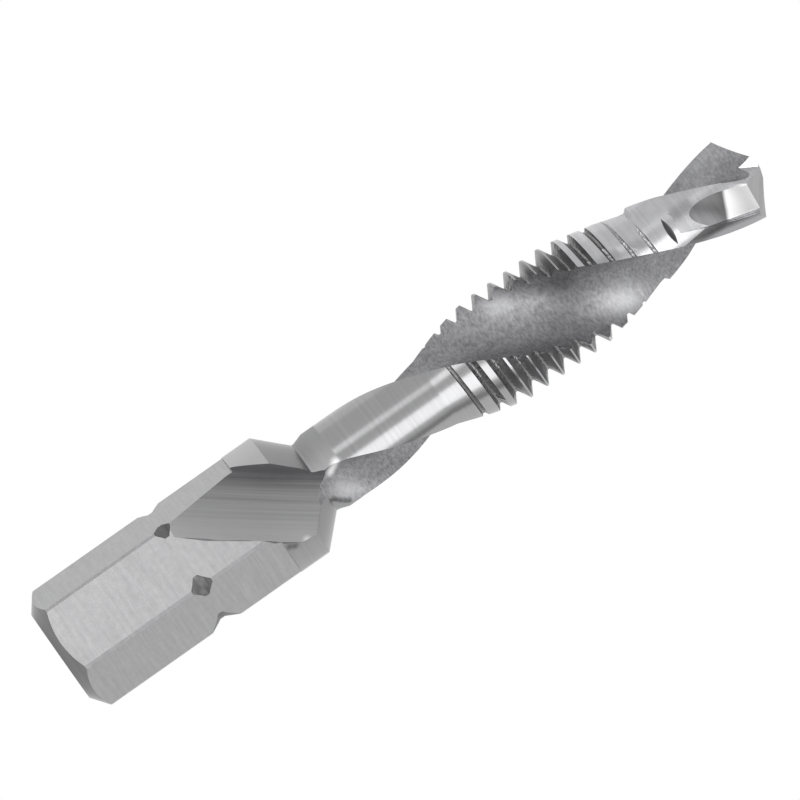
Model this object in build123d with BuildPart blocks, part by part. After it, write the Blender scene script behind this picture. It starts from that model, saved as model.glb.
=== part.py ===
"""Combined drill and tap bit: a ground hexagonal shank, a fluted neck, a tap and a twist drill.

The bit lies along +X with the centre of its shank end at the origin. +Z is square to one flat of the
hexagon, so the bit rests on the opposite flat. All sizes are in millimetres and all angles in degrees.
Angles round the axis are counted from +Y towards +Z, and the tool cuts as it turns that way.
"""
import os
from math import acos, ceil, cos, degrees, radians, sin, tan

from build123d import *

# The round bar that everything is ground from
blank_diameter = 7.16

# The hexagonal shank, with a coned end and a detent groove that was turned slightly off the axis
hex_across_flats = 6.3
hex_length = 12.6
end_face_diameter = 5.2
end_cone_length = 0.74
detent_centre = 7.95
detent_floor_diameter = 6.5
detent_floor_width = 0.26
detent_wall_angle = 27.0
detent_shift = 0.155
detent_shift_angle = 66.4

# The collar, the cone down to the neck and the small undercut at its foot
collar_length = 1.75
collar_cone_angle = 45.0
undercut_diameter = 4.08
undercut_floor_width = 0.14
undercut_run_out = 0.55
neck_diameter = 4.46

# The tap: a coarse metric thread with a taper at each end
thread_diameter = 6.1
thread_pitch = 1.0
thread_core_diameter = 4.74
thread_root_flat = 0.12
thread_angle = 60.0
groove_start = 23.7
groove_run_out = 1.94
crest_clearance = 0.07
back_taper_start = 23.5
back_taper_length = 3.9
full_thread_length = 4.9
lead_in_length = 2.6

# The backed-off heel of the lead-in, which rises again to the drill
heel_relief_length = 1.45
heel_relief_floor = 0.3
heel_relief_rise = 0.25
heel_relief_depth = 0.295

# The drill
drill_diameter = 4.95
lip_height = 44.02
point_angle = 120.0
lip_lead_angle = 80.0
lip_offset = 0.5
lip_clearance_angle = 14.0
margin_angle = 18.5
margin_start = 38.1
body_relief_depth = 0.095
body_relief_run_in = 1.5

# The flat that thins the body behind each margin, and the wheel that it starts with
body_flat_height = 2.1
body_flat_angle = 88.5
body_flat_start = 38.9
body_flat_full = 42.0
body_flat_wheel_radius = 12.5
margin_ledge_angle = 0.6

# The notch that splits the point behind each lip
gash_depth = 0.17
gash_along_lip = 0.089
gash_behind_lip = 0.068
gash_valley_angle = 31.93
gash_clock_angle = 228.0
gash_floor_angle = 151.1
gash_wall_angle = 40.6
gash_length = 2.6

# The notch that the last rib of the threading wheel leaves on each land
notch_place = 37.95
notch_angle = 103.6
notch_width = 0.32
notch_depth = 0.13

# The two flutes, which grow shallower towards the neck
flute_lead = 33.8
flute_clock_angle = 134.74
flute_radius = 2.62
web_at_point = 1.12
web_at_neck = 2.56
web_growth_power = 1.5
web_taper_end = 20.0
flute_run_out_start = 18.0
flute_run_out_radius = 3.1
flute_run_in = 0.75
flute_station_angle = 12.5

# The wheel that clears the collar and the hexagon at the end of each flute
wheel_radius = 50.0
wheel_x = 12.73
wheel_clock_angle = 100.4
wheel_height = 2.32
wheel_helix_angle = 37.0
wheel_lean_angle = -14.5
wheel_upper_half = 2.27
wheel_lower_half = 1.68
wheel_corner = 0.48
wheel_bevel_width = 0.2
wheel_bevel_height = 0.3

# Places along the axis and radii that follow from the sizes above
blank_radius = blank_diameter / 2
undercut_radius = undercut_diameter / 2
neck_radius = neck_diameter / 2
thread_radius = thread_diameter / 2
core_radius = thread_core_diameter / 2
drill_radius = drill_diameter / 2
collar_end = hex_length + collar_length
cone_foot = collar_end + (blank_radius - undercut_radius) / tan(radians(collar_cone_angle))
undercut_end = cone_foot + undercut_floor_width
neck_start = undercut_end + undercut_run_out
back_taper_end = back_taper_start + back_taper_length
lead_in_start = back_taper_end + full_thread_length
lead_in_end = lead_in_start + lead_in_length
clearance = 1.0
skin = 0.03
overlap_angle = 12.0

# The groove between two threads, cut a little wider and deeper than the crests need
groove_height = thread_radius - core_radius + crest_clearance
groove_mouth = thread_root_flat + 2 * groove_height * tan(radians(thread_angle / 2))
groove_turns = (lead_in_end + groove_run_out - groove_start) / thread_pitch


def radial(angle):
    """A unit vector square to the axis, at an angle round it."""
    return Vector(0, cos(radians(angle)), sin(radians(angle)))


def flute_angle(x):
    """The angle of the first flute at a distance from the shank's end."""
    return flute_clock_angle + 360 * x / flute_lead


def web_half(x):
    """The distance from the axis to the floor of a flute."""
    if x < flute_run_out_start:
        return web_at_neck / 2 + (flute_run_out_start - x) ** 2 / (2 * flute_run_out_radius)
    share = min(max((lip_height - x) / (lip_height - web_taper_end), 0.0), 1.0)
    return (web_at_point + (web_at_neck - web_at_point) * share**web_growth_power) / 2


def flute_edge(x, radius):
    """The angle from a flute's middle to its edge at a radius."""
    middle = web_half(x) + flute_radius
    return degrees(acos((radius**2 + middle**2 - flute_radius**2) / (2 * radius * middle)))


def stations(first, last, angle):
    """Evenly spaced places along the axis, about an angle of flute apart."""
    steps = max(2, round((last - first) / (flute_lead * angle / 360)))
    return [first + (last - first) * i / steps for i in range(steps + 1)]


def across(x, angle=0.0):
    """A plane square to the axis, with its own x direction at an angle round the axis."""
    return Plane(origin=(x, 0, 0), x_dir=radial(angle), z_dir=(1, 0, 0))


def polar(radius, angle):
    """A point of a cross-section."""
    return (radius * cos(radians(angle)), radius * sin(radians(angle)))


def above_land(x, turn, front, front_radius, back_radius):
    """Sketches the space above a land, from an angle behind its flute's middle to past its heel."""
    back = -180 + flute_edge(x, drill_radius) - overlap_angle
    middle = (front + back) / 2
    with BuildSketch(across(x, flute_angle(x) + turn)) as space:
        with BuildLine():
            ThreePointArc(
                polar(back_radius, back),
                polar((front_radius + back_radius) / 2, middle),
                polar(front_radius, front),
            )
            Line(polar(front_radius, front), polar(thread_radius, front))
            ThreePointArc(
                polar(thread_radius, front), polar(thread_radius, middle), polar(thread_radius, back)
            )
            Line(polar(thread_radius, back), polar(back_radius, back))
        make_face()
    return space.sketch


# Both flutes: round-bottomed channels that wind round the axis and run out under the collar
with BuildPart() as flutes:
    for turn in (0, 180):
        for x in stations(collar_end - flute_run_in, lip_height + clearance, flute_station_angle):
            middle = web_half(x) + flute_radius
            mouth = middle + flute_radius
            with BuildSketch(across(x, flute_angle(x) + turn)):
                with BuildLine():
                    ThreePointArc(
                        (middle, -flute_radius), (middle - flute_radius, 0), (middle, flute_radius)
                    )
                    Polyline(
                        (middle, flute_radius),
                        (mouth, flute_radius),
                        (mouth, -flute_radius),
                        (middle, -flute_radius),
                    )
                make_face()
        loft()

# The wheels that clear the shank, one behind each flute
with BuildPart() as wheels:
    for turn in (0, 180):
        outward = radial(wheel_clock_angle + turn)
        level_axle = radial(wheel_clock_angle + turn + 90) * cos(radians(wheel_helix_angle)) - Vector(
            sin(radians(wheel_helix_angle)), 0, 0
        )
        axle = level_axle * cos(radians(wheel_lean_angle)) - outward * sin(radians(wheel_lean_angle))
        spoke = outward * cos(radians(wheel_lean_angle)) + level_axle * sin(radians(wheel_lean_angle))
        foot = Vector(wheel_x, 0, 0) + outward * wheel_height
        with BuildSketch(Plane(origin=foot, x_dir=axle, z_dir=axle.cross(spoke))) as rim:
            with BuildLine():
                Polyline(
                    (-wheel_upper_half, wheel_radius),
                    (-wheel_upper_half, 0),
                    (wheel_lower_half - wheel_bevel_width, 0),
                    (wheel_lower_half, wheel_bevel_height),
                    (wheel_lower_half, wheel_radius),
                    close=True,
                )
            make_face()
            fillet(rim.vertices().group_by(Axis.Y)[0].sort_by(Axis.X)[0], wheel_corner)
        revolve(axis=Axis(foot + spoke * wheel_radius, axle))

# The backed-off heels of the lead-in, each ruled between four sections of the land
with BuildPart() as heel_relief:
    relief_low = lead_in_end + heel_relief_length
    relief_end = relief_low + heel_relief_floor + heel_relief_rise
    for turn in (0, 180):
        loft(
            [
                above_land(
                    x, turn, -flute_edge(x, drill_radius), drill_radius + skin, drill_radius - depth
                )
                for x, depth in (
                    (lead_in_end, -skin),
                    (relief_low, heel_relief_depth),
                    (relief_low + heel_relief_floor, heel_relief_depth),
                    (relief_end, -skin),
                )
            ],
            ruled=True,
        )

# The body clearance of the drill: a shallow twisted step behind each margin
with BuildPart() as body_relief:
    for turn in (0, 180):
        sections = []
        for x in stations(margin_start, lip_height + clearance, flute_station_angle):
            share = min((x - margin_start) / body_relief_run_in, 1.0)
            floor = drill_radius - share * body_relief_depth + (1 - share) * skin
            front = -flute_edge(x, drill_radius) - margin_angle
            sections.append(above_land(x, turn, front, floor, floor))
        loft(sections)

# The flats behind the margins, which wind round with the flutes
with BuildPart() as body_flats:
    for turn in (0, 180):
        for x in stations(body_flat_start, lip_height + clearance, flute_station_angle):
            run_in = max(body_flat_full - x, 0.0)
            height = body_flat_height + run_in**2 / (2 * body_flat_wheel_radius)
            ledge_angle = flute_edge(x, drill_radius) + margin_angle + margin_ledge_angle
            wall = tan(radians(body_flat_angle - ledge_angle))
            with BuildSketch(across(x, flute_angle(x) + turn - body_flat_angle)):
                with BuildLine():
                    Polyline(
                        (height, height * wall),
                        (thread_radius, thread_radius * wall),
                        (thread_radius, -thread_radius),
                        (height, -thread_radius),
                        close=True,
                    )
                make_face()
        loft()

with BuildPart() as bit:
    # The turned blank, from the shank's end to the tip
    with BuildSketch(Plane.XY):
        with BuildLine():
            Polyline(
                (0, 0),
                (0, end_face_diameter / 2),
                (end_cone_length, blank_radius),
                (collar_end, blank_radius),
                (cone_foot, undercut_radius),
                (undercut_end, undercut_radius),
                (neck_start, neck_radius),
                (back_taper_start, neck_radius),
                (back_taper_end, thread_radius),
                (lead_in_start, thread_radius),
                (lead_in_end, drill_radius),
                (lip_height, drill_radius),
                (lip_height, 0),
                close=True,
            )
        make_face()
    revolve(axis=Axis.X)

    # The six flats, each ending in a crescent step at the collar
    with BuildSketch(Plane.YZ):
        Circle(blank_radius + clearance)
        RegularPolygon(hex_across_flats / 2, 6, major_radius=False, mode=Mode.SUBTRACT)
    extrude(amount=hex_length, mode=Mode.SUBTRACT)

    # The detent groove, which nicks the six corners
    groove_centre = radial(detent_shift_angle) * detent_shift
    wall_height = blank_radius + 2 * detent_shift - detent_floor_diameter / 2
    wall_length = wall_height / tan(radians(detent_wall_angle))
    with BuildSketch(
        Plane(
            origin=groove_centre + Vector(detent_centre, 0, 0),
            x_dir=(1, 0, 0),
            z_dir=Vector(1, 0, 0).cross(radial(detent_shift_angle)),
        )
    ):
        with BuildLine():
            Polyline(
                (-detent_floor_width / 2, detent_floor_diameter / 2),
                (detent_floor_width / 2, detent_floor_diameter / 2),
                (detent_floor_width / 2 + wall_length, detent_floor_diameter / 2 + wall_height),
                (-detent_floor_width / 2 - wall_length, detent_floor_diameter / 2 + wall_height),
                close=True,
            )
        make_face()
    revolve(axis=Axis(groove_centre, (1, 0, 0)), mode=Mode.SUBTRACT)

    # The thread's groove, turn by turn, from the neck over the tapers to the drill
    for turn in range(ceil(groove_turns)):
        with BuildLine():
            spiral = Helix(
                thread_pitch,
                thread_pitch * min(groove_turns - turn, 1.0),
                core_radius,
                center=(groove_start + turn * thread_pitch, 0, 0),
                direction=(1, 0, 0),
            )
        groove_foot = spiral @ 0
        outward = Vector(0, groove_foot.Y, groove_foot.Z).normalized()
        across_groove = Plane(origin=groove_foot, x_dir=(1, 0, 0), z_dir=Vector(1, 0, 0).cross(outward))
        with BuildSketch(across_groove):
            with BuildLine():
                Polyline(
                    (-thread_root_flat / 2, 0),
                    (thread_root_flat / 2, 0),
                    (groove_mouth / 2, groove_height),
                    (-groove_mouth / 2, groove_height),
                    close=True,
                )
            make_face()
        sweep(path=spiral, is_frenet=True, mode=Mode.SUBTRACT)

    # The flutes and their run-outs
    add(flutes.part, mode=Mode.SUBTRACT)
    add(wheels.part, mode=Mode.SUBTRACT)

    # The backed-off heels and the drill's body clearance
    add(heel_relief.part, mode=Mode.SUBTRACT)
    add(body_relief.part, mode=Mode.SUBTRACT)
    add(body_flats.part, mode=Mode.SUBTRACT)

    # The two flanks of the point, each falling away behind its lip
    for turn in (0, 180):
        lip = radial(flute_angle(lip_height) - lip_lead_angle + turn)
        ahead = radial(flute_angle(lip_height) - lip_lead_angle + turn + 90)
        slope = lip / tan(radians(point_angle / 2)) - ahead * tan(radians(lip_clearance_angle))
        flank_normal = Vector(1, 0, 0) + slope
        flank_foot = Vector(lip_height, 0, 0) + ahead * lip_offset
        with BuildSketch(Plane(origin=flank_foot, x_dir=ahead, z_dir=flank_normal)):
            Rectangle(4 * drill_diameter, 4 * drill_diameter)
        extrude(amount=drill_diameter, mode=Mode.SUBTRACT)

        # The notch behind it, a valley between a floor on the other lip and a wall on this lip's heel
        valley = (
            lip * (sin(radians(gash_valley_angle)) * cos(radians(gash_clock_angle)))
            + ahead * (sin(radians(gash_valley_angle)) * sin(radians(gash_clock_angle)))
            - Vector(cos(radians(gash_valley_angle)), 0, 0)
        )
        gash_foot = (
            Vector(lip_height - gash_depth, 0, 0) + lip * gash_along_lip - ahead * gash_behind_lip
        )
        with BuildSketch(
            Plane(origin=gash_foot - valley * clearance, x_dir=valley.cross(ahead), z_dir=valley)
        ):
            with BuildLine():
                Polyline(
                    (0, 0),
                    polar(drill_diameter, gash_floor_angle),
                    polar(drill_diameter, gash_wall_angle),
                    close=True,
                )
            make_face()
        extrude(amount=clearance + gash_length, mode=Mode.SUBTRACT)

    # The last notch of the thread on each land
    for turn in (0, 180):
        notch_x = notch_place - thread_pitch * turn / 360
        outward = radial(notch_angle + turn)
        across_notch = Plane(
            origin=(notch_x, 0, 0), x_dir=(1, 0, 0), z_dir=Vector(1, 0, 0).cross(outward)
        )
        with BuildSketch(across_notch):
            with BuildLine():
                Polyline(
                    (0, drill_radius - notch_depth),
                    (notch_width, drill_radius + notch_depth),
                    (-notch_width, drill_radius + notch_depth),
                    close=True,
                )
            make_face()
        extrude(amount=drill_radius / 2, both=True, mode=Mode.SUBTRACT)

bit.part.label = "drill_tap_bit"
os.makedirs("parts", exist_ok=True)
export_step(bit.part, "parts/drill_tap_bit.step")
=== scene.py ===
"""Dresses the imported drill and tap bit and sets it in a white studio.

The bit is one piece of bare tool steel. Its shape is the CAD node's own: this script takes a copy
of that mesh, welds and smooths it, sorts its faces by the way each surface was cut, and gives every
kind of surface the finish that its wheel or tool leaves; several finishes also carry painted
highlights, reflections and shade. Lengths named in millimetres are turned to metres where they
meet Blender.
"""

import logging
import math
from dataclasses import dataclass, field
from enum import Enum

import bpy
from mathutils import Matrix, Vector


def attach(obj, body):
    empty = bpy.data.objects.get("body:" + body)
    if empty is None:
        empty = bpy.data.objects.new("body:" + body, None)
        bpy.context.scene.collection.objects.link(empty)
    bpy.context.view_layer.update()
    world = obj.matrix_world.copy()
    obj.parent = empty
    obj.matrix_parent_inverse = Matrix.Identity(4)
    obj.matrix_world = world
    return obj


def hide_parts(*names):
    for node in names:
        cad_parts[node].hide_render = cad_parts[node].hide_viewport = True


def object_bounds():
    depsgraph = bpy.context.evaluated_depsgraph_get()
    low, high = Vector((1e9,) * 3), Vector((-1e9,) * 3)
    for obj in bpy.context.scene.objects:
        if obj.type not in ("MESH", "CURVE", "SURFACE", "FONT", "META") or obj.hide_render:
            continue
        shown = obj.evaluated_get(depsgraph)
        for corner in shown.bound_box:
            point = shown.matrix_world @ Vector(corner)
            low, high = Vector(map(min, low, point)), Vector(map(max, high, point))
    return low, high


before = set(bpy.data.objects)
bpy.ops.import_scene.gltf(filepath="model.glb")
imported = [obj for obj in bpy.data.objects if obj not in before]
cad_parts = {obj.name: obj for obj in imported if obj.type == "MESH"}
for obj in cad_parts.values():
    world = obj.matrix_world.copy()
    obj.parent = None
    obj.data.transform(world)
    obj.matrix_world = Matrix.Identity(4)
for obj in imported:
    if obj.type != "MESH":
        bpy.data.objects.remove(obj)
cad_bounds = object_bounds()

logging.basicConfig(level=logging.INFO, format="%(message)s")
log = logging.getLogger("drill_tap_bit")

MM = 0.001
NODE = "drill_tap_bit"

# In a tree of nodes, a value goes by the output that carries it
Tree = bpy.types.NodeTree
Socket = bpy.types.NodeSocket
Triple = tuple[float, float, float]
Stations = tuple[tuple[float, float], ...]


def linear(hex_colour: str) -> tuple[float, float, float, float]:
    """Turns an sRGB colour into the linear values that shaders use.

    Args:
        hex_colour: The colour as six hex digits after a #.

    Returns:
        Linear red, green and blue, and full alpha.
    """
    channels = [int(hex_colour[i : i + 2], 16) / 255 for i in (1, 3, 5)]
    red, green, blue = (
        c / 12.92 if c <= 0.04045 else ((c + 0.055) / 1.055) ** 2.4 for c in channels
    )
    return (red, green, blue, 1.0)


def add_node(tree: Tree, kind: str, settings: dict | None = None, **links) -> bpy.types.Node:
    """Adds a node, sets its properties and sockets, and links what feeds it.

    Args:
        tree: The node tree that gets the node.
        kind: The node's type name in Blender.
        settings: Properties by name, and sockets by name or number with a plain value.
        links: Sockets by name, with spaces as underscores, and the output that feeds each.

    Returns:
        The new node.
    """
    node = tree.nodes.new(kind)
    for name, value in (settings or {}).items():
        if isinstance(name, int) or name in node.inputs:
            node.inputs[name].default_value = value
        else:
            setattr(node, name, value)
    for name, output in links.items():
        by_number = name[0] == "i" and name[1:].isdigit()
        socket = int(name[1:]) if by_number else name.replace("_", " ")
        tree.links.new(output, node.inputs[socket])
    return node


def empty_tree(owner: bpy.types.Material | bpy.types.World) -> Tree:
    """Gives a material or a world a tree without nodes.

    Args:
        owner: The material or world.

    Returns:
        The tree.
    """
    owner.use_nodes = True
    owner.node_tree.nodes.clear()
    return owner.node_tree


def compute(tree: Tree, operation: str, *values: Socket) -> Socket:
    """Works out one number from others by the sum that operation names."""
    links = {f"i{number}": value for number, value in enumerate(values)}
    return add_node(tree, "ShaderNodeMath", {"operation": operation}, **links).outputs[0]


def ramp(
    tree: Tree,
    value: Socket,
    span: tuple[float, float],
    result: tuple[float, float] = (0.0, 1.0),
    shape: str = "LINEAR",
) -> Socket:
    """Turns one span of a value into another, and holds it past both ends.

    Args:
        tree: The node tree.
        value: The value.
        span: The value's start and end.
        result: What it becomes at its start and end.
        shape: The change's name in Blender.

    Returns:
        The result.
    """
    settings = {
        "interpolation_type": shape,
        "From Min": span[0],
        "From Max": span[1],
        "To Min": result[0],
        "To Max": result[1],
    }
    return add_node(tree, "ShaderNodeMapRange", settings, Value=value).outputs[0]


def measure(tree: Tree, operation: str, place: Socket, other: Triple | Vector) -> Socket:
    """Works out one number from a place and a vector by the sum that operation names."""
    settings = {"operation": operation, 1: other}
    return add_node(tree, "ShaderNodeVectorMath", settings, i0=place).outputs["Value"]


def lay(tree: Tree, colour: Socket, hex_colour: str, share: Socket) -> Socket:
    """Lays a colour over another, as far as the share from 0 to 1 says."""
    settings = {"data_type": "RGBA", 7: linear(hex_colour)}
    return add_node(tree, "ShaderNodeMix", settings, Factor=share, i6=colour).outputs[2]


def radial(clock: float) -> Vector:
    """Points square to the bit's axis, at an angle in degrees from +Y towards +Z."""
    return Vector((0, math.cos(math.radians(clock)), math.sin(math.radians(clock))))


def clock_of(place: Vector) -> float:
    """Gives a place's angle round the bit's axis, in degrees from +Y towards +Z."""
    return math.degrees(math.atan2(place.z, place.y))


def between(stations: Stations, x: float) -> float | None:
    """Reads a value off the straight lines between stations along the bit.

    Args:
        stations: The places in millimetres, each with its value.
        x: The place in millimetres.

    Returns:
        The value there, and None past the ends.
    """
    for (first, low), (last, high) in zip(stations, stations[1:]):
        if first <= x <= last:
            return low + (high - low) * (x - first) / (last - first)
    return None


def stand(thing: bpy.types.Object, back: Vector, right: Vector, place: Vector) -> None:
    """Sets a lamp or the camera at a place, with its back one way and its right side another.

    Args:
        thing: The lamp or camera.
        back: The unit vector away from what it looks at.
        right: The unit vector to its right, square to back.
        place: Its place in metres.
    """
    turn = Matrix((right, back.cross(right), back)).transposed()
    thing.matrix_world = Matrix.LocRotScale(place, turn, None)


class Surface(Enum):
    """The ways in which the bit's surfaces were cut."""

    FLAT = "ground_hexagon"
    CORNER = "ground_hexagon_corner"
    CONE = "turned_cone"
    COLLAR = "turned_collar"
    DETENT = "turned_detent_groove"
    TURNED = "turned_shank"
    SCOOP = "wheel_ground_scoop"
    SHOULDER = "wheel_ground_shoulder"
    LAND = "ground_land"
    FLUTE = "ground_flute"
    THREAD = "ground_thread"
    DRILL_LAND = "ground_drill_land"
    MARGIN = "ground_drill_margin"
    BODY = "ground_drill_body"
    POINT = "ground_point"
    GASH = "split_point_notch"
    STEP = "ground_step"


class LandForm(Enum):
    """The forms of a land, each with its own radius along and round the bit."""

    TURNED = "turned"
    HEEL = "heel"
    RELIEF = "relief"


@dataclass(frozen=True)
class PaintedPatch:
    """A soft-edged patch of painted light: a bright one is a painted highlight, a dark one painted
    shade.

    Attributes:
        place: Its middle in millimetres; it lies on the far side too, half a turn round.
        reach: Its radius in millimetres.
        colour: The painted colour in its middle.
        share: How far that colour shows there, from 0 to 1.
    """

    place: Triple
    reach: float
    colour: str
    share: float

    def add(self, tree: Tree, place: Socket, colour: Socket) -> Socket:
        """Lays the patch over a colour on both sides of the bit.

        Args:
            tree: The material's nodes.
            place: The place in metres.
            colour: The colour below.

        Returns:
            The colour with the patch.
        """
        x, y, z = self.place
        for side in (1, -1):
            middle = (x * MM, y * side * MM, z * side * MM)
            away = measure(tree, "DISTANCE", place, middle)
            near = ramp(tree, away, (self.reach * MM, 0.0), (0.0, self.share), "SMOOTHSTEP")
            colour = lay(tree, colour, self.colour, near)
        return colour


@dataclass(frozen=True)
class Blend:
    """A change of colour across a plane; most blends paint light or shade past it, the rest change
    the steel's tone.

    Attributes:
        colour: The colour past the plane.
        start: The plane's place in millimetres, counted in the direction along.
        along: The direction square to the plane.
        reach: How far to either side of the plane the change spreads, in millimetres.
        share: How far the colour shows past the plane, from 0 to 1.
    """

    colour: str
    start: float
    along: Triple = (1.0, 0.0, 0.0)
    reach: float = 0.12
    share: float = 1.0

    def add(self, tree: Tree, place: Socket, colour: Socket) -> Socket:
        """Lays the change over a colour.

        Args:
            tree: The material's nodes.
            place: The place in metres.
            colour: The colour before the plane.

        Returns:
            The colour with the change.
        """
        span = ((self.start - self.reach) * MM, (self.start + self.reach) * MM)
        along = measure(tree, "DOT_PRODUCT", place, self.along)
        past = ramp(tree, along, span, (0.0, self.share))
        return lay(tree, colour, self.colour, past)


@dataclass(frozen=True)
class Lines:
    """The fine lines that a wheel or a tool leaves.

    Attributes:
        width: Their spacing in millimetres.
        length: Their length in millimetres.
        depth: Their depth in millimetres.
        across: The direction in which they follow one another.
    """

    width: float
    length: float
    depth: float
    across: Triple = (1.0, 0.0, 0.0)

    def add(self, tree: Tree, place: Socket) -> Socket:
        """Draws the lines as noise that is thin one way and long the others.

        Args:
            tree: The material's nodes.
            place: The place in metres.

        Returns:
            Their height, from 0 to 1.
        """
        turn = Vector(self.across).normalized().rotation_difference(Vector((1, 0, 0))).to_euler()
        turned = add_node(tree, "ShaderNodeMapping", {"Rotation": turn}, Vector=place)
        scale = (1 / (self.width * MM), 1 / (self.length * MM), 1 / (self.length * MM))
        thin = add_node(tree, "ShaderNodeMapping", {"Scale": scale}, Vector=turned.outputs[0])
        settings = {"Scale": 0.5, "Detail": 3.0, "Roughness": 0.6}
        return add_node(tree, "ShaderNodeTexNoise", settings, Vector=thin.outputs[0]).outputs[0]


@dataclass(frozen=True)
class SteelFinish:
    """Bare high-speed steel, cut by a wheel or a tool that leaves fine lines.

    Attributes:
        surface: The kind of surface that has the finish.
        dull: The steel's darker colour, in the lines' bottoms.
        clear: The steel's lighter colour, on the lines' tops.
        roughness: How rough the surface is between its lines.
        lines: The lines.
        cloud: How far soft clouds vary the colour, from 0 to 1.
        cloud_size: The clouds' size in millimetres.
        mirrored: Whether the far side is the near one, turned half a turn round the axis.
        dull_until: The place along the bit in millimetres, up to which it isn't polished.
        blends: The planes past which the colour changes, most of them painted light and shade.
        patches: Soft-edged patches of painted highlight and shade.
        contrast: The noise that gives the darker and the lighter colour.
        rougher: What dull clouds add to the roughness.
        smoother: What clear clouds take from the roughness.
        unpolished: The roughness of a part that isn't polished.
        polish_reach: Half the width of that part's edge in millimetres.
    """

    surface: Surface
    dull: str
    clear: str
    roughness: float
    lines: Lines
    cloud: float = 0.15
    cloud_size: float = 1.5
    mirrored: bool = False
    dull_until: float | None = None
    blends: tuple[Blend, ...] = ()
    patches: tuple[PaintedPatch, ...] = ()
    contrast: tuple[float, float] = (0.3, 0.7)
    rougher: float = 0.05
    smoother: float = 0.03
    unpolished: float = 0.6
    polish_reach: float = 0.08

    def coordinates(self, tree: Tree) -> Socket:
        """Gives the place on the bit, with the far side turned to the near one where asked.

        Args:
            tree: The material's nodes.

        Returns:
            The place in metres.
        """
        place = add_node(tree, "ShaderNodeTexCoord").outputs["Object"]
        if not self.mirrored:
            return place
        parts = add_node(tree, "ShaderNodeSeparateXYZ", Vector=place).outputs
        side = compute(tree, "SIGN", parts["Z"])
        turned = {axis: compute(tree, "MULTIPLY", parts[axis], side) for axis in ("Y", "Z")}
        return add_node(tree, "ShaderNodeCombineXYZ", X=parts["X"], **turned).outputs[0]

    def gloss(self, tree: Tree, place: Socket, clouds: Socket) -> Socket:
        """Varies the roughness with the clouds, and raises it where the steel isn't polished.

        Args:
            tree: The material's nodes.
            place: The place in metres.
            clouds: The clouds, from 0 to 1.

        Returns:
            The roughness.
        """
        result = (self.roughness + self.rougher, self.roughness - self.smoother)
        gloss = ramp(tree, clouds, (0.0, 1.0), result)
        if self.dull_until is None:
            return gloss
        along = add_node(tree, "ShaderNodeSeparateXYZ", Vector=place).outputs["X"]
        start, end = self.dull_until - self.polish_reach, self.dull_until + self.polish_reach
        dull = ramp(tree, along, (start * MM, end * MM), (self.unpolished, 0.0))
        return compute(tree, "MAXIMUM", gloss, dull)

    def build(self) -> bpy.types.Material:
        """Makes the material.

        Returns:
            The finished material.
        """
        material = bpy.data.materials.new(self.surface.value)
        tree = empty_tree(material)
        place = self.coordinates(tree)
        lines = self.lines.add(tree, place)
        settings = {"Scale": 1 / (self.cloud_size * MM), "Detail": 4.0, "Roughness": 0.55}
        clouds = add_node(tree, "ShaderNodeTexNoise", settings, Vector=place).outputs[0]
        settings = {"data_type": "FLOAT", "Factor": self.cloud}
        shade = add_node(tree, "ShaderNodeMix", settings, i2=lines, i3=clouds).outputs[0]
        spread = ramp(tree, shade, self.contrast)
        settings = {"data_type": "RGBA", 6: linear(self.dull), 7: linear(self.clear)}
        colour = add_node(tree, "ShaderNodeMix", settings, Factor=spread).outputs[2]
        for layer in self.blends + self.patches:
            colour = layer.add(tree, place, colour)
        settings = {"Strength": 1.0, "Distance": self.lines.depth * MM}
        bump = add_node(tree, "ShaderNodeBump", settings, Height=lines).outputs[0]
        links = {"Base_Color": colour, "Roughness": self.gloss(tree, place, clouds), "Normal": bump}
        steel = add_node(tree, "ShaderNodeBsdfPrincipled", {"Metallic": 1.0}, **links)
        add_node(tree, "ShaderNodeOutputMaterial", Surface=steel.outputs[0])
        return material


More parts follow.
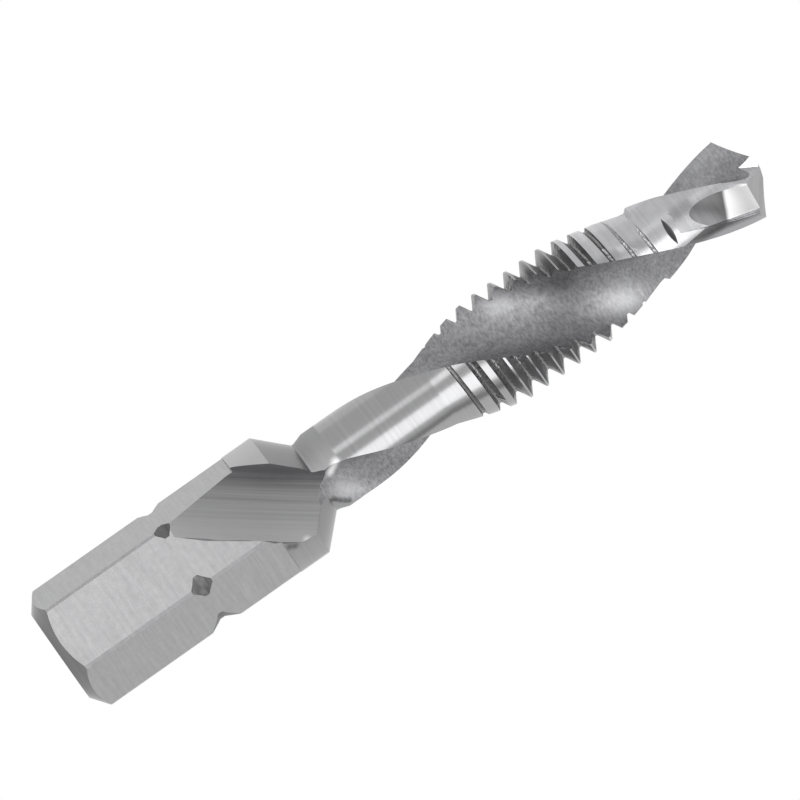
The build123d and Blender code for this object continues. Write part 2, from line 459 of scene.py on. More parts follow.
@dataclass(frozen=True)
class Wheel:
    """The wheel that clears the collar at the end of each flute, in millimetres and degrees."""

    radius: float = 50.0
    place: float = 12.73
    clock: float = 100.4
    height: float = 2.32
    helix: float = 37.0
    lean: float = -14.5
    upper_half: float = 2.27
    lower_half: float = 1.68
    corner: float = 0.48
    slack: float = 0.03

    def level(self) -> Vector:
        """Points along the axle before the wheel leans."""
        helix = math.radians(self.helix)
        return radial(self.clock + 90) * math.cos(helix) - Vector((math.sin(helix), 0, 0))

    def axle(self) -> Vector:
        """Points along the axle, across which the wheel's lines follow one another."""
        lean = math.radians(self.lean)
        return (self.level() * math.cos(lean) - radial(self.clock) * math.sin(lean)).normalized()

    def spoke(self) -> Vector:
        """Points from the wheel's foot to its axle."""
        lean = math.radians(self.lean)
        return (radial(self.clock) * math.cos(lean) + self.level() * math.sin(lean)).normalized()

    def locate(self, point: Vector) -> tuple[int, Vector, float]:
        """Finds where a point lies from the hub of the wheel on its side.

        Args:
            point: The point.

        Returns:
            The side as 1 or -1, the way from the hub with the far side turned to the near one, and
            how far that way runs along the axle.
        """
        side = 1 if point.dot(radial(self.clock)) > 0 else -1
        foot = Vector((self.place, 0, 0)) + radial(self.clock) * self.height
        hub = foot + self.spoke() * self.radius
        way = Vector((point.x, point.y * side, point.z * side)) - hub
        return side, way, way.dot(self.axle())

    def cut(self, point: Vector) -> bool:
        """Tells whether a point of the bit lies on the surface that the wheel left.

        Args:
            point: The point.

        Returns:
            True on the wheel's rim, its corners and its sides.
        """
        _, way, along = self.locate(point)
        out = (way - self.axle() * along).length
        before, past = along + self.upper_half, self.lower_half - along
        reach = self.slack + (self.corner if min(before, past) < self.corner else 0.0)
        on_rim = abs(out - self.radius) < reach
        on_side = min(abs(before), abs(past)) < self.slack
        inside = min(before, past) > -self.slack and out < self.radius + self.slack
        return inside and (on_rim or on_side)

    def at_shoulder(self, point: Vector) -> bool:
        """Tells whether a point lies on the rounded corner at the scoop's upper side."""
        return self.locate(point)[2] < self.corner - self.upper_half

    def normal(self, point: Vector) -> Vector:
        """Points out of the steel at a point that the wheel left.

        Args:
            point: The point.

        Returns:
            The unit normal of the rim, or of the rounded corner beside it.
        """
        side, way, along = self.locate(point)
        inward = self.axle() * along - way
        if along < self.corner - self.upper_half:
            rise = self.corner - (self.radius - inward.length)
            inward = inward.normalized() * rise
            inward -= self.axle() * (along + self.upper_half - self.corner)
        inward.normalize()
        return Vector((inward.x, inward.y * side, inward.z * side))


@dataclass(frozen=True)
class Flute:
    """The flutes, which wind round the bit and deepen to its point, in millimetres and degrees."""

    lead: float = 33.8
    clock: float = 134.74
    radius: float = 2.62
    web_at_point: float = 1.12
    web_at_neck: float = 2.56
    web_power: float = 1.5
    web_taper_end: float = 20.0
    run_out_start: float = 18.0
    run_out_radius: float = 3.1
    lip_height: float = 44.02
    fit: float = 0.07
    step: float = 0.01

    def turn_at(self, x: float) -> float:
        """Gives the angle of the near flute's middle at a place along the bit."""
        return self.clock + 360 * x / self.lead

    def middle(self, x: float) -> float:
        """Measures from the axis to the middle of a flute's round at a place along the bit.

        Args:
            x: The place.

        Returns:
            The distance.
        """
        if x < self.run_out_start:
            rise = (self.run_out_start - x) ** 2 / (2 * self.run_out_radius)
            return self.web_at_neck / 2 + rise + self.radius
        share = (self.lip_height - x) / (self.lip_height - self.web_taper_end)
        share = min(max(share, 0.0), 1.0) ** self.web_power
        web = self.web_at_point + (self.web_at_neck - self.web_at_point) * share
        return web / 2 + self.radius

    def edge(self, x: float, radius: float) -> float:
        """Measures from a flute's middle to its edge.

        Args:
            x: The place along the bit.
            radius: The radius at which the edge lies.

        Returns:
            The angle.
        """
        middle = self.middle(x)
        square = radius**2 + middle**2 - self.radius**2
        return math.degrees(math.acos(square / (2 * radius * middle)))

    def hub(self, x: float, turn: float) -> Vector:
        """Finds the middle of a flute's round in a cross-section; turn is 0 or 180."""
        return radial(self.turn_at(x) + turn) * self.middle(x)

    def cut(self, point: Vector) -> bool:
        """Tells whether a point of the bit lies on the round of a flute.

        Args:
            point: The point.

        Returns:
            True on either flute.
        """
        section = Vector((0, point.y, point.z))
        distances = ((section - self.hub(point.x, turn)).length for turn in (0, 180))
        return any(abs(distance - self.radius) < self.fit for distance in distances)

    def normal(self, point: Vector) -> Vector:
        """Points out of the steel at a point of a flute.

        Args:
            point: The point.

        Returns:
            The unit normal of the nearer flute's surface.
        """
        section = Vector((0, point.y, point.z))
        turn = min((0, 180), key=lambda angle: (section - self.hub(point.x, angle)).length)
        inward = (self.hub(point.x, turn) - section).normalized()
        ahead, behind = (self.hub(point.x + way * self.step, turn) for way in (1, -1))
        drift = (ahead - behind) / (2 * self.step)
        return (inward - Vector((inward.dot(drift), 0, 0))).normalized()


@dataclass(frozen=True)
class ToolBody:
    """The bit's body, sorted by surface, in millimetres and degrees; flank_match is in radians."""

    wheel: Wheel = field(default_factory=Wheel)
    flute: Flute = field(default_factory=Flute)
    flat_height: float = 3.15
    hexagon_length: float = 12.6
    end_cone: float = 0.74
    collar_end: float = 14.35
    cone_end: float = 15.89
    detent_start: float = 6.7
    detent_end: float = 9.2
    detent_radius: float = 3.57
    scoop_start: float = 8.0
    scoop_end: float = 16.7
    thread_start: float = 23.5
    thread_end: float = 38.3
    point_start: float = 42.0
    gash_start: float = 42.85
    turned_profile: Stations = (
        (0.0, 2.6), (0.74, 3.58), (14.35, 3.58), (15.89, 2.04), (16.03, 2.04), (16.58, 2.23),
        (23.5, 2.23), (27.4, 3.05), (32.3, 3.05), (34.9, 2.475), (44.02, 2.475),
    )
    land_radius: float = 1.95
    root_radius: float = 2.37
    lead_in_start: float = 32.3
    drill_radius: float = 2.475
    heel_skin: float = 0.03
    heel_depths: Stations = ((34.9, -0.03), (36.35, 0.295), (36.65, 0.295), (36.9, -0.03))
    heel_overlap: float = 12.0
    relief_start: float = 38.1
    relief_run_in: float = 1.5
    relief_depth: float = 0.095
    margin_angle: float = 18.5
    margin_slack: float = 0.5
    relief_slack: float = 1.0
    body_start: float = 38.9
    body_flat_clock: float = 88.5
    body_flat_height: float = 2.1
    body_flat_full: float = 42.0
    body_wheel_radius: float = 12.5
    fit: float = 0.004
    slack: float = 0.01
    nowhere: float = 9.0
    lip_clock: float = 163.6
    flank_slope: float = 0.577
    flank_clearance: float = 0.249
    flank_match: float = 0.05
    flat_facing: float = 0.999
    turned_lift: float = 0.9
    land_lift: float = 0.6
    thread_facing: float = 0.6
    point_facing: float = 0.25
    core_radius: float = 0.5
    step: float = 0.004
    clock_step: float = 0.1
    crease_angle: float = 13.0
    weld_distance: float = 0.0005
    normal_reach: float = 12.0
    round_surfaces: tuple[Surface, ...] = (
        Surface.TURNED, Surface.LAND, Surface.CORNER, Surface.CONE, Surface.COLLAR,
    )
    plain_surfaces: tuple[Surface, ...] = (
        Surface.FLAT, Surface.POINT, Surface.GASH, Surface.STEP,
    )

    def on_flat(self, centre: Vector, normal: Vector) -> bool:
        """Tells whether a face lies on one of the hexagon's flats.

        Args:
            centre: The face's middle.
            normal: The face's outward direction.

        Returns:
            True on a flat.
        """
        flats = (radial(90 + 60 * number) for number in range(6))
        faced = (flat for flat in flats if normal.dot(flat) > self.flat_facing)
        at_height = any(abs(centre.dot(flat) - self.flat_height) < self.slack for flat in faced)
        return at_height and centre.x < self.hexagon_length + self.slack

    def on_flank(self, normal: Vector) -> bool:
        """Tells whether a face of the point belongs to a flank and not to the notch behind it.

        Args:
            normal: The face's outward direction.

        Returns:
            True on a flank.
        """
        for turn in (0, 180):
            out = radial(self.lip_clock + turn) * self.flank_slope
            back = radial(self.lip_clock + turn + 90) * self.flank_clearance
            if normal.angle(Vector((1, 0, 0)) + out - back) < self.flank_match:
                return True
        return False

    def body_flat(self, corner: Vector) -> tuple[float, Vector]:
        """Measures a point against the nearer of the flats that thin the drill.

        Args:
            corner: The point.

        Returns:
            How far the point stands above the flat, and the flat's normal there.
        """
        run_in = max(self.body_flat_full - corner.x, 0.0)
        clock = self.flute.turn_at(corner.x) - self.body_flat_clock
        clock = min((clock, clock + 180), key=lambda angle: -corner.dot(radial(angle)))
        floor = self.body_flat_height + run_in**2 / (2 * self.body_wheel_radius)
        twist = corner.dot(radial(clock + 90)) * math.radians(360 / self.flute.lead)
        normal = radial(clock) + Vector((twist + run_in / self.body_wheel_radius, 0, 0))
        return corner.dot(radial(clock)) - floor, normal.normalized()

    def on_body_flat(self, corner: Vector) -> bool:
        """Tells whether a point lies on one of the flats that thin the drill."""
        return abs(self.body_flat(corner)[0]) < self.fit * 2

    def on_profile(self, corner: Vector) -> bool:
        """Tells whether a point lies on the surface that the blank was turned to."""
        radius = between(self.turned_profile, corner.x)
        return radius is not None and abs(math.hypot(corner.y, corner.z) - radius) < self.fit

    def at_root(self, corner: Vector) -> bool:
        """Tells whether a point lies at the bottom of the thread's groove."""
        return abs(math.hypot(corner.y, corner.z) - self.root_radius) < self.fit * 2

    def behind_flute(self, x: float, clock: float) -> float:
        """Measures how far an angle lies behind the middle of the flute before it."""
        return (self.flute.turn_at(x) - clock) % 180

    def on_margin(self, place: Vector) -> bool:
        """Tells whether a point of a drill land lies on the strip along its cutting edge."""
        strip = self.flute.edge(place.x, self.drill_radius) + self.margin_angle + self.margin_slack
        return place.x > self.body_start and self.behind_flute(place.x, clock_of(place)) < strip

    def turned_surface(self, centre: Vector) -> Surface:
        """Sorts a face of the turned blank by where it lies along the bit.

        Args:
            centre: The face's middle.

        Returns:
            The way in which the face was cut.
        """
        if self.end_cone < centre.x < self.hexagon_length:
            return Surface.CORNER
        if self.hexagon_length < centre.x < self.collar_end:
            return Surface.COLLAR
        if self.slack < centre.x < self.cone_end:
            return Surface.CONE
        if centre.x > self.lead_in_start:
            return self.land_surface(centre)
        return Surface.LAND if centre.x > self.thread_start else Surface.TURNED

    def land_surface(self, centre: Vector) -> Surface:
        """Sorts a face of a drill land by its middle."""
        return Surface.MARGIN if self.on_margin(centre) else Surface.DRILL_LAND

    def surface_of(self, corners: list[Vector], normal: Vector) -> Surface:
        """Sorts one face by where its corners lie and how it faces.

        Args:
            corners: The face's corners.
            normal: The face's outward direction.

        Returns:
            The way in which the face was cut.
        """
        centre = sum(corners, Vector()) / len(corners)
        out = Vector((0, centre.y, centre.z))
        lift = normal.dot(out.normalized()) if out.length > 0 else 0.0
        if self.on_flat(centre, normal):
            return Surface.FLAT
        if self.scoop_start < centre.x < self.scoop_end and all(map(self.wheel.cut, corners)):
            return Surface.SHOULDER if self.wheel.at_shoulder(centre) else Surface.SCOOP
        if centre.x > self.scoop_start and all(map(self.flute.cut, corners)):
            return Surface.FLUTE
        if self.detent_start < centre.x < self.detent_end and out.length < self.detent_radius:
            return Surface.DETENT
        before_thread = centre.x < self.thread_start
        if (before_thread or lift > self.turned_lift) and all(map(self.on_profile, corners)):
            return self.turned_surface(centre)
        if before_thread:
            return Surface.TURNED
        if centre.x > self.point_start and normal.x > self.point_facing:
            return Surface.POINT if self.on_flank(normal) else Surface.STEP
        if centre.x > self.body_start and all(map(self.on_body_flat, corners)):
            return Surface.BODY
        steep = abs(normal.x) > self.thread_facing
        if centre.x < self.thread_end and (steep or all(map(self.at_root, corners))):
            return Surface.THREAD
        if out.length < self.land_radius or lift < self.land_lift:
            return Surface.GASH if centre.x > self.gash_start else Surface.STEP
        return self.land_surface(centre)

    def build(self, source: bpy.types.Object) -> bpy.types.Object:
        """Copies the CAD node, welds its loose triangles and smooths them up to the real edges.

        Args:
            source: The CAD node.

        Returns:
            The bit's visible body.
        """
        bpy.ops.object.select_all(action="DESELECT")
        body = source.copy()
        body.data = source.data.copy()
        body.parent = None
        body.name = "drill_tap_bit_body"
        for key in list(body.keys()):
            del body[key]
        bpy.context.scene.collection.objects.link(body)
        body.select_set(True)
        bpy.context.view_layer.objects.active = body
        bpy.ops.object.mode_set(mode="EDIT")
        bpy.ops.mesh.select_all(action="SELECT")
        bpy.ops.mesh.remove_doubles(threshold=self.weld_distance * MM)
        bpy.ops.object.mode_set(mode="OBJECT")
        bpy.ops.object.shade_smooth_by_angle(angle=math.radians(self.crease_angle))
        return body

    def land_radius_at(self, x: float, clock: float, form: LandForm) -> float:
        """Reads the radius of one of a land's forms.

        Args:
            x: The place along the bit.
            clock: The angle round it.
            form: The form.

        Returns:
            The radius, or the large one called nowhere outside the form.
        """
        if form is LandForm.TURNED:
            return between(self.turned_profile, x) or self.nowhere
        edge = self.flute.edge(x, self.drill_radius)
        behind = self.behind_flute(x, clock)
        front = self.drill_radius + self.heel_skin
        if form is LandForm.RELIEF:
            if x < self.relief_start or behind <= edge + self.margin_angle - self.relief_slack:
                return self.nowhere
            share = min((x - self.relief_start) / self.relief_run_in, 1.0)
            return self.drill_radius - share * self.relief_depth + (1 - share) * self.heel_skin
        depth = between(self.heel_depths, x)
        if depth is None or behind <= edge:
            return self.nowhere
        share = (behind - edge) / (180 - 2 * edge + self.heel_overlap)
        return front + share * (self.drill_radius - depth - front)

    def land_normal(self, place: Vector, form: LandForm) -> Vector:
        """Works out a land's normal from how its radius changes along and round the bit.

        Args:
            place: The place.
            form: Which of the land's forms it is on.

        Returns:
            The unit normal.
        """
        clock = clock_of(place)
        shifts = ((0, 0), (self.step, 0), (-self.step, 0), (0, self.clock_step))
        radii = [self.land_radius_at(place.x + x, clock + turn, form) for x, turn in shifts]
        if max(radii) >= self.nowhere:
            return radial(clock)
        radius, ahead, behind, turned = radii
        around = (turned - radius) / (math.radians(self.clock_step) * radius)
        slope = (ahead - behind) / (2 * self.step)
        normal = radial(clock) - radial(clock + 90) * around - Vector((slope, 0, 0))
        return normal.normalized()

    def true_normal(
        self, surface: Surface, place: Vector, centre: Vector, normal: Vector
    ) -> Vector | None:
        """Works out the real surface's normal at a corner of a face.

        Args:
            surface: The way in which the face was cut.
            place: The corner.
            centre: The face's middle.
            normal: The face's own normal.

        Returns:
            The exact normal, or None where the smoothed one serves.
        """
        out = Vector((0, place.y, place.z))
        if surface in self.plain_surfaces:
            return normal
        if surface in self.round_surfaces and out.length > self.core_radius:
            across = Vector((0, normal.y, normal.z))
            side = 1 if across.dot(out) > 0 else -1
            exact = Vector((normal.x, 0, 0)) + out.normalized() * across.length * side
        elif surface in (Surface.SCOOP, Surface.SHOULDER):
            exact = self.wheel.normal(place)
        elif surface is Surface.FLUTE:
            exact = self.flute.normal(place)
        elif surface is Surface.BODY:
            exact = self.body_flat(place)[1]
        elif surface in (Surface.DRILL_LAND, Surface.MARGIN):
            clock = clock_of(centre)
            form = min(LandForm, key=lambda one: self.land_radius_at(centre.x, clock, one))
            exact = self.land_normal(place, form)
        else:
            return None
        exact.normalize()
        return exact if exact.angle(normal) < math.radians(self.normal_reach) else None

    def dress(self, body: bpy.types.Object, finishes: list[SteelFinish]) -> dict[str, int]:
        """Gives every face the finish of its surface.

        Args:
            body: The bit's visible body.
            finishes: One finish for each kind of surface.

        Returns:
            The number of faces by surface.
        """
        mesh = body.data
        mesh.materials.clear()
        slots = {}
        for number, finish in enumerate(finishes):
            mesh.materials.append(finish.build())
            slots[finish.surface] = number
        counts = {finish.surface.value: 0 for finish in finishes}
        beside = {}
        surfaces = [
            self.surface_of([mesh.vertices[i].co / MM for i in face.vertices], face.normal)
            for face in mesh.polygons
        ]
        for face, surface in zip(mesh.polygons, surfaces):
            face.material_index = slots[surface]
            counts[surface.value] += 1
            for edge in face.edge_keys:
                beside.setdefault(edge, set()).add(face.material_index)
        for edge in mesh.edges:
            if len(beside.get(edge.key, ())) > 1:
                edge.use_edge_sharp = True
        corner_normals = [corner.vector.copy() for corner in mesh.corner_normals]
        for face, surface in zip(mesh.polygons, surfaces):
            for loop in face.loop_indices:
                place = mesh.vertices[mesh.loops[loop].vertex_index].co / MM
                exact = self.true_normal(surface, place, face.center / MM, face.normal.copy())
                if exact is not None:
                    corner_normals[loop] = exact
        mesh.normals_split_custom_set(corner_normals)
        return counts


@dataclass(frozen=True)
class Lamp:
    """A soft box: where it stands as seen from the bit, its size and its strength.

    Attributes:
        name: The lamp's name.
        swing: The angle in degrees from the camera's direction towards the picture's foot.
        drift: The angle in degrees from the middle towards the drill point.
        distance: The distance from the bit in metres.
        length: The size along the bit in metres.
        breadth: The size across the bit in metres.
        radiance: The brightness of its face, where 1 is white.
    """

    name: str
    swing: float
    drift: float
    distance: float
    length: float
    breadth: float
    radiance: float


@dataclass(frozen=True)
class Studio:
    """The white studio: floor, world, soft boxes and camera.

    Attributes:
        tilt: The camera's angle in degrees past the square view on the hexagon's flat.
        slant: The camera's angle in degrees towards the shank.
        rise: The angle in degrees by which the bit rises to the right in the picture.
        aim_x: The place along the bit at the picture's middle, in millimetres.
        aim_up: How far the picture's middle lies above the bit's axis, in millimetres.
        view_width: The width that the picture takes in at the bit, in millimetres.
        distance: The camera's distance in metres.
        room: The floor's size in metres.
        room_light: The room's brightness, where 1 is white.
        dark_light: The brightness of the room's dark parts.
        dark_band: How dark the room is by the sine of the height on the camera's side.
        dark_side: The sines towards the camera's side between which that band begins.
        dark_spot: The swing and drift of a dark spot, as a lamp has them.
        dark_spot_edge: The cosines of the angle from its middle at which it begins and is full.
        dark_spot_share: How dark it is, where 1 is as dark as the band.
        lamps: The soft boxes.
    """

    tilt: float = 10.1
    slant: float = 2.7
    rise: float = 35.1
    aim_x: float = 21.81
    aim_up: float = 0.736
    view_width: float = 41.09
    distance: float = 0.4
    room: float = 4.0
    room_light: float = 0.82
    dark_light: float = 0.36
    dark_band: Stations = ((0.0, 0.3), (0.05, 1.0), (0.20, 1.0), (0.34, 0.0))
    dark_side: tuple[float, float] = (-0.3, -0.6)
    dark_spot: tuple[float, float] = (-20, 22)
    dark_spot_edge: tuple[float, float] = (0.94, 0.98)
    dark_spot_share: float = 0.7
    lamps: tuple[Lamp, ...] = (
        Lamp("soft_box_low", 29, -16, 0.6, 0.56, 0.42, 1.7),
        Lamp("soft_box_high", -26, -19, 0.6, 0.50, 0.17, 1.3),
        Lamp("soft_box_tip", 20, 38, 0.6, 0.30, 0.40, 2.4),
    )

    def toward_camera(self) -> Vector:
        """Points from the bit to the camera, square to the axis."""
        tilt = math.radians(self.tilt)
        return Vector((0, -math.sin(tilt), math.cos(tilt)))

    def upward(self) -> Vector:
        """Points across the bit, up in the levelled picture."""
        tilt = math.radians(self.tilt)
        return Vector((0, math.cos(tilt), math.sin(tilt)))

    def direction(self, swing: float, drift: float) -> Vector:
        """Points from the bit to a part of the room.

        Args:
            swing: The angle in degrees from the camera's direction towards the picture's foot.
            drift: The angle in degrees from the middle towards the drill point.

        Returns:
            The unit vector.
        """
        swing, drift = math.radians(swing), math.radians(drift)
        across = self.toward_camera() * math.cos(swing) - self.upward() * math.sin(swing)
        return across * math.cos(drift) + Vector((math.sin(drift), 0, 0))

    def aim(self) -> Vector:
        """Finds the point in metres at the picture's middle."""
        return (Vector((self.aim_x, 0, 0)) + self.upward() * self.aim_up) * MM

    def add_camera(self) -> None:
        """Sets the camera at the photograph's angle."""
        slant = math.radians(self.slant)
        back = self.toward_camera() * math.cos(slant) - Vector((math.sin(slant), 0, 0))
        back.normalize()
        right = self.upward().cross(back).normalized()
        rise = math.radians(self.rise)
        right = right * math.cos(rise) - back.cross(right) * math.sin(rise)
        data = bpy.data.cameras.new("camera")
        data.sensor_width = 36.0
        data.lens = data.sensor_width * self.distance / (self.view_width * MM)
        data.clip_start = 0.01
        data.clip_end = 20.0
        camera = bpy.data.objects.new("camera", data)
        bpy.context.scene.collection.objects.link(camera)
        stand(camera, back, right, self.aim() + back * self.distance)
        bpy.context.scene.camera = camera

    def add_lamps(self) -> None:
        """Hangs the soft boxes, whose faces show as bands on the polished steel."""
        for lamp in self.lamps:
            data = bpy.data.lights.new(lamp.name, "AREA")
            data.shape = "RECTANGLE"
            data.size = lamp.length
            data.size_y = lamp.breadth
            data.energy = lamp.radiance * math.pi * lamp.length * lamp.breadth
            light = bpy.data.objects.new(lamp.name, data)
            bpy.context.scene.collection.objects.link(light)
            back = self.direction(lamp.swing, lamp.drift).normalized()
            right = (Vector((1, 0, 0)) - back * back.x).normalized()
            stand(light, back, right, self.aim() + back * lamp.distance)

    def add_world(self) -> None:
        """Fills the room with even light and shows white behind the bit."""
        world = bpy.data.worlds.new("studio")
        bpy.context.scene.world = world
        tree = empty_tree(world)
        seen = add_node(tree, "ShaderNodeLightPath").outputs["Is Camera Ray"]
        place = add_node(tree, "ShaderNodeTexCoord").outputs["Generated"]
        parts = add_node(tree, "ShaderNodeSeparateXYZ", Vector=place).outputs

        # The band low on the camera's side and the spot past the point show as dark bands on the
        # round steel
        band = add_node(tree, "ShaderNodeValToRGB", i0=parts["Z"])
        for stop, shade in self.dark_band:
            mark = band.color_ramp.elements.new(stop)
            mark.color = (shade, shade, shade, 1)
        band.color_ramp.elements.remove(band.color_ramp.elements[-1])
        side = ramp(tree, parts["Y"], self.dark_side)
        facing = measure(tree, "DOT_PRODUCT", place, self.direction(*self.dark_spot))
        spot = ramp(tree, facing, self.dark_spot_edge, (0.0, self.dark_spot_share))
        dark = compute(tree, "MAXIMUM", compute(tree, "MULTIPLY", band.outputs[0], side), spot)
        room = ramp(tree, dark, (0.0, 1.0), (self.room_light, self.dark_light))
        settings = {"data_type": "FLOAT", 3: 1.0}
        level = add_node(tree, "ShaderNodeMix", settings, Factor=seen, i2=room).outputs[0]
        light = add_node(tree, "ShaderNodeBackground", {"Color": (1, 1, 1, 1)}, Strength=level)
        add_node(tree, "ShaderNodeOutputWorld", Surface=light.outputs[0])

    def add_floor(self, height: float) -> None:
        """Lays the white floor that the bit rests on.

        Args:
            height: The floor's height in metres.
        """
        bpy.ops.object.select_all(action="DESELECT")
        bpy.ops.mesh.primitive_circle_add(vertices=64, radius=self.room / 2, fill_type="NGON")
        floor = bpy.context.active_object
        floor.name = "studio_floor"
        floor.location.z = height
        material = bpy.data.materials.new("white_paper_floor")
        tree = empty_tree(material)
        path = add_node(tree, "ShaderNodeLightPath").outputs
        seen = compute(tree, "MAXIMUM", path["Is Camera Ray"], path["Is Glossy Ray"])
        seen = compute(tree, "MAXIMUM", seen, path["Is Transmission Ray"])
        paper = add_node(tree, "ShaderNodeBsdfDiffuse", {"Color": linear("#F2F2F2")})
        white = add_node(tree, "ShaderNodeEmission", {"Color": (1, 1, 1, 1), "Strength": 1.0})
        shaders = {"i1": paper.outputs[0], "i2": white.outputs[0]}
        mixed = add_node(tree, "ShaderNodeMixShader", i0=seen, **shaders)
        add_node(tree, "ShaderNodeOutputMaterial", Surface=mixed.outputs[0])
        floor.data.materials.append(material)

    def build(self, floor_height: float) -> None:
        """Sets up the whole studio.

        Args:
            floor_height: The floor's height in metres.
        """
        self.add_world()
        self.add_floor(floor_height)
        self.add_lamps()
        self.add_camera()
        bpy.context.scene.view_settings.view_transform = "Standard"


def facet_highlight_and_sliver_shadow() -> tuple[PaintedPatch, ...]:
    """Paints light and shade where a second pass of the wheel met the neck.

    Returns:
        The patches of a painted highlight on a facet above, and of a painted shadow in a sliver
        below.
    """
    facet = ((16.70, -0.56, 1.75), (16.95, -0.45, 1.94), (17.20, -0.37, 2.20))
    sliver = (
        (15.98, -1.68, 1.16), (16.16, -1.79, 1.06), (16.34, -1.91, 0.90),
        (16.52, -2.02, 0.72), (16.70, -2.13, 0.55),
    )
    bright = tuple(PaintedPatch(place, 0.42, "#FFFFFF", 0.75) for place in facet)
    return bright + tuple(PaintedPatch(place, 0.28, "#2C2C2D", 0.65) for place in sliver)


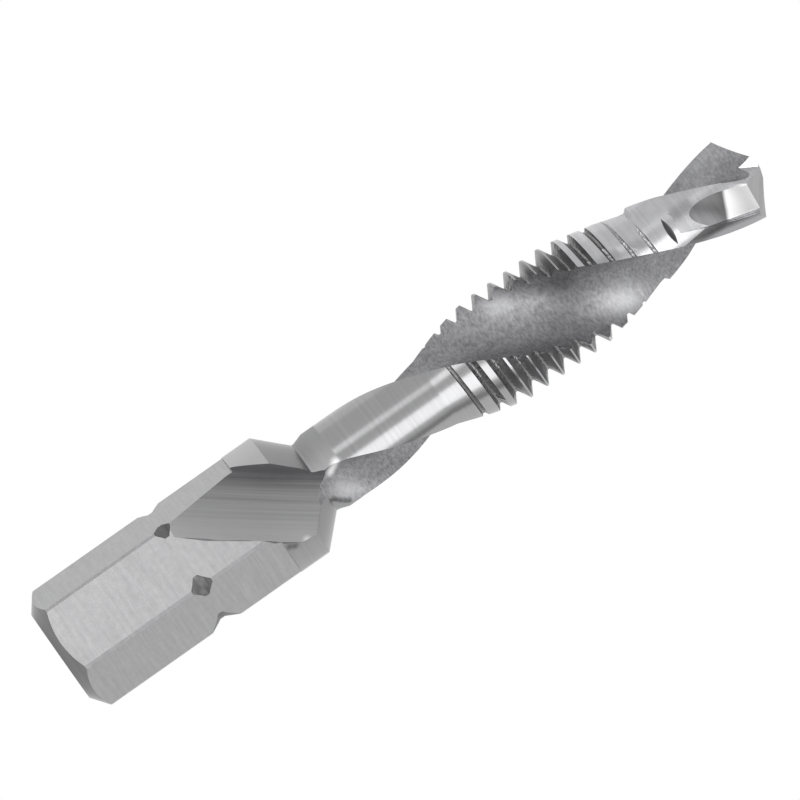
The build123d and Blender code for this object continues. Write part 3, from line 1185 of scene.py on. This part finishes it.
def steel_finishes(wheel: Wheel) -> list[SteelFinish]:
    """Lists the finishes of the bit's surfaces, all of the same bare high-speed steel.

    Args:
        wheel: The wheel that ground the scoops.

    Returns:
        One finish for each kind of surface.
    """
    axle, point_lines = tuple(wheel.axle()), (0, 0.6, 0.8)
    turned_lines = Lines(0.10, 6.0, 0.0003)
    land_lines = Lines(0.12, 4.0, 0.0006)
    dark, bright, white = "#3C3C3D", "#D8D8DA", "#FFFFFF"
    return [
        # Surface-ground flats: even grey, with fine lines across the bit
        SteelFinish(
            Surface.FLAT, "#9E9E9F", "#ACACAD", 0.24, Lines(0.10, 1.2, 0.0006),
            cloud=0.3, cloud_size=0.3,
        ),
        # The blank's skin left between the flats: dull, with no clear reflection
        SteelFinish(Surface.CORNER, "#BEBEBF", "#C8C8C9", 0.95, Lines(0.14, 3.0, 0.0006)),
        # The detent groove: turned by a form tool and dull, its dark colour painted shade in the
        # groove
        SteelFinish(Surface.DETENT, "#606061", "#7A7A7B", 0.45, Lines(0.10, 3.0, 0.0010)),
        # The cones at the shank's end and behind the collar: darker than the collar, lighter behind
        # it than at the end
        SteelFinish(
            Surface.CONE, "#727273", "#7A7A7B", 0.26, turned_lines,
            blends=(Blend("#8E8E8F", 5.0),),
        ),
        # The collar: a painted highlight on the side away from the scoop's foot, and painted shade
        # beside the foot
        SteelFinish(
            Surface.COLLAR, "#9C9C9D", "#A4A4A5", 0.42, turned_lines, mirrored=True,
            blends=(Blend("#BCBCBD", 1.0, (0.0, 0.98, 0.18), 0.5),),
            # Painted shade beside the scoop's foot, in place of a bevel that the mesh lacks
            patches=(
                PaintedPatch((12.76, -2.61, 2.45), 0.34, dark, 0.6),
                PaintedPatch((13.03, -2.73, 2.32), 0.32, dark, 0.6),
            ),
        ),
        # Turned and polished neck: clear bands with faint rings, and dull beside the scoops
        SteelFinish(
            Surface.TURNED, "#A0A0A1", "#A8A8A9", 0.20, turned_lines,
            # A painted highlight on a facet and a painted shadow in a sliver, where a second pass
            # of the wheel met the neck
            dull_until=17.4, patches=facet_highlight_and_sliver_shadow(),
        ),
        # The wheel's rim: long straight lines, with painted shade at both edges of the scoop
        SteelFinish(
            Surface.SCOOP, "#656566", "#969697", 0.34, Lines(0.06, 9.0, 0.003, axle),
            mirrored=True,
            blends=(
                Blend("#B8B8B9", -7.0, axle, 2.2),
                # Painted shade at the scoop's upper edge
                Blend(dark, 8.40, tuple(-wheel.axle()), 0.35, 0.35),
                # A painted shadow line along the scoop's lower edge
                Blend(dark, 12.14, (0.733, -0.670, -0.119), 0.07, 0.4),
            ),
            # A painted highlight near the scoop's lower end
            patches=(PaintedPatch((13.70, -2.81, 2.19), 0.35, white, 0.6),),
        ),
        # The wheel's shoulder: it scrapes rather than cuts, and leaves a dull strip
        # Its dark colour is painted shade in the scoop's rounded corner
        SteelFinish(
            Surface.SHOULDER, "#666667", "#808082", 0.85, Lines(0.12, 9.0, 0.003, axle),
            mirrored=True,
        ),
        # Lands between the flutes: polished like the neck
        SteelFinish(Surface.LAND, "#A0A0A1", "#A8A8A9", 0.20, turned_lines),
        # Flutes: cloudy, from a fine wheel that ran along them, with patches of painted highlight
        # and shade
        SteelFinish(
            Surface.FLUTE, "#727274", "#A8A8AA", 0.50, Lines(0.06, 0.13, 0.002),
            cloud=0.3, cloud_size=0.45,
            patches=(
                PaintedPatch((34.2, -1.58, -0.23), 1.9, bright, 0.40),
                PaintedPatch((28.7, 1.82, 1.18), 1.5, bright, 0.36),
                PaintedPatch((16.7, -1.55, 0.62), 1.7, bright, 0.45),
                PaintedPatch((31.6, -0.06, 0.88), 2.3, dark, 0.42),
                PaintedPatch((31.9, 0.73, 1.59), 1.4, dark, 0.35),
                PaintedPatch((41.0, 1.95, -0.35), 2.6, bright, 0.22),
            )
            # The facet's painted highlight and the sliver's painted shadow
            + facet_highlight_and_sliver_shadow(),
        ),
        # Lead-in crests, relieved heels and drill lands: ground round, brighter and less clear
        SteelFinish(
            Surface.DRILL_LAND, "#B4B4B6", "#CCCCCE", 0.23, land_lines,
            cloud=0.4, cloud_size=0.5,
        ),
        # The strip along a drill land's edge: bright at the edge, with painted shade beside the
        # thinned body
        SteelFinish(
            Surface.MARGIN, "#6A6A6B", "#7C7C7D", 0.26, land_lines, mirrored=True,
            # The darker part is painted shade of a recessed relief that the mesh lacks
            blends=(Blend("#A4A4A6", -6.83, (-0.21, -0.985, -0.175), 0.10),),
        ),
        # Thread flanks: ground round the bit, bright at the lead-in, with painted shade in the last
        # notch
        SteelFinish(
            Surface.THREAD, "#7C7C7D", "#9A9A9B", 0.36, Lines(0.05, 6.0, 0.0006),
            blends=(Blend("#B4B4B5", 35.6, reach=1.0), Blend("#707071", 37.6, reach=0.2)),
        ),
        # The thinned body: the flank of a wheel leaves curved lines across it
        SteelFinish(
            Surface.BODY, "#5A5A5B", "#6A6A6B", 0.30, Lines(0.16, 3.0, 0.003), mirrored=True,
            # Dark before 41.42 mm as painted shade, and white past it as a painted reflection of a
            # soft box
            blends=(Blend(white, 41.42, (1.0, -0.42, -0.08)),),
        ),
        # The notch that splits the point: one pass of a fine wheel
        SteelFinish(Surface.GASH, "#E6E6E8", white, 0.30, Lines(0.06, 2.0, 0.001, point_lines)),
        # Narrow steps beside the lands, left by the edges of the wheels
        SteelFinish(Surface.STEP, "#9C9C9E", "#B8B8BA", 0.32, Lines(0.06, 2.0, 0.0006)),
        # The point's flanks: plain ground faces
        SteelFinish(
            Surface.POINT, "#8E8E8F", "#A2A2A3", 0.30, Lines(0.08, 3.0, 0.001, point_lines)
        ),
    ]


def main() -> None:
    """Builds and dresses the bit, sets up the studio and logs the body's faces and the floor's
    height.
    """
    tool = ToolBody()
    body = tool.build(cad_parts[NODE])
    counts = tool.dress(body, steel_finishes(tool.wheel))
    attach(body, "root")
    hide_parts(NODE)
    log.info("%s: %d faces, %s", body.name, len(body.data.polygons), counts)
    Studio().build(floor_height=cad_bounds[0][2])
    log.info("studio: floor at %.5f m", cad_bounds[0][2])


if __name__ == "__main__":
    main()
